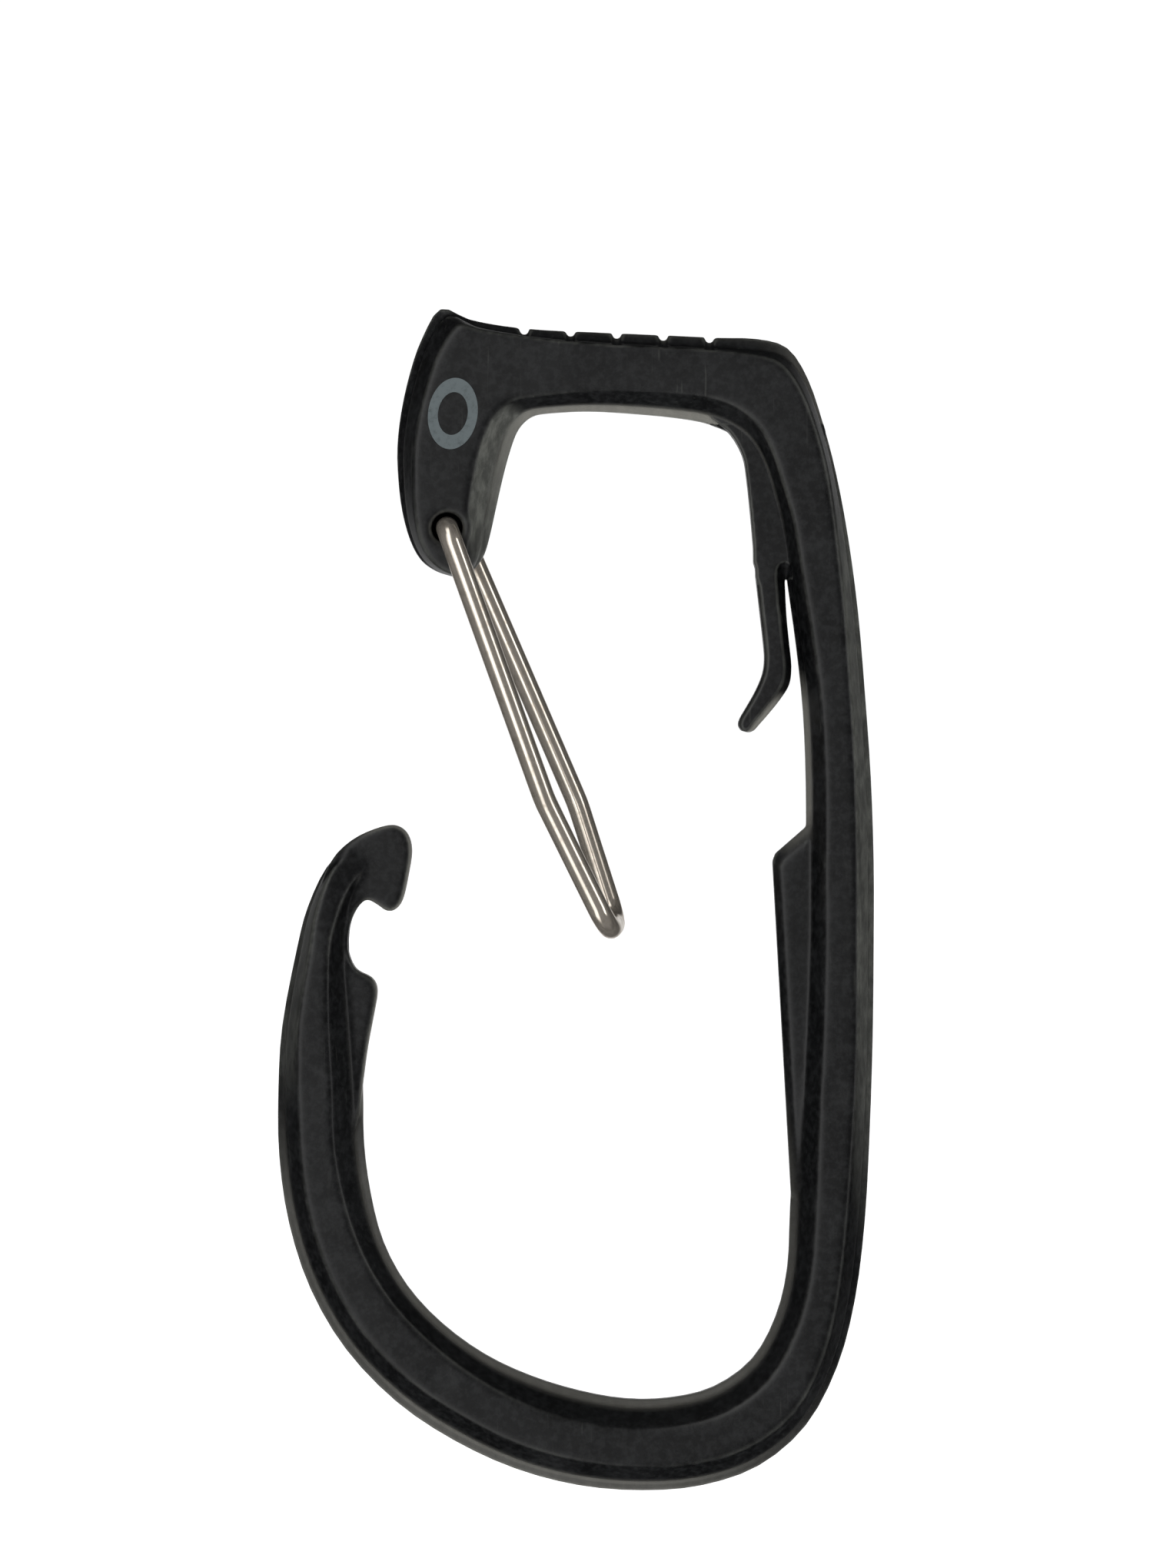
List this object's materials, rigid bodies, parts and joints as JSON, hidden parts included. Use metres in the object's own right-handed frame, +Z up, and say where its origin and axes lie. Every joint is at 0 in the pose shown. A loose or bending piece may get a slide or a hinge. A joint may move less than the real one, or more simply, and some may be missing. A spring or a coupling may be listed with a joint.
{
  "type": "harness gear clipper",
  "caption": "Moulded plastic gear clipper for a climbing harness: an open hook with a keyed head, a webbing tongue and a sprung wire gate.",
  "frame": {"origin": "on the spine's inner edge, half way up the slot where the harness webbing bears, in the mid-plane", "axes": "+Z up the spine as the clipper hangs on a harness, +Y through the thickness from front to back, +X from the gate side to the spine"},
  "size_m": [0.0605, 0.014, 0.12],
  "materials": {
    "moulding": "moulded black nylon, fine spark texture, scuffed",
    "gate_steel": "drawn stainless wire, tumbled bright"
  },
  "bodies": {
    "body": {"frame_body": "moulding"},
    "tongue": {"webbing_tongue": "moulding"},
    "gate": {"gate_wire": "gate_steel"}
  },
  "joints": [
    {"name": "gate_swing", "type": "hinge", "parent": "body", "child": "gate", "pos_m": [-0.0356, 0, 0.01785], "axis": [0, -1, 0], "range_deg": [-34, 27], "stiffness_Nm_per_rad": 0.15, "springref_deg": -63.03},
    {"name": "tongue_flex", "type": "hinge", "parent": "body", "child": "tongue", "pos_m": [-0.00345, 0, 0.0132], "axis": [0, 1, 0], "range_deg": [-2.5, 8], "stiffness_Nm_per_rad": 6}
  ]
}
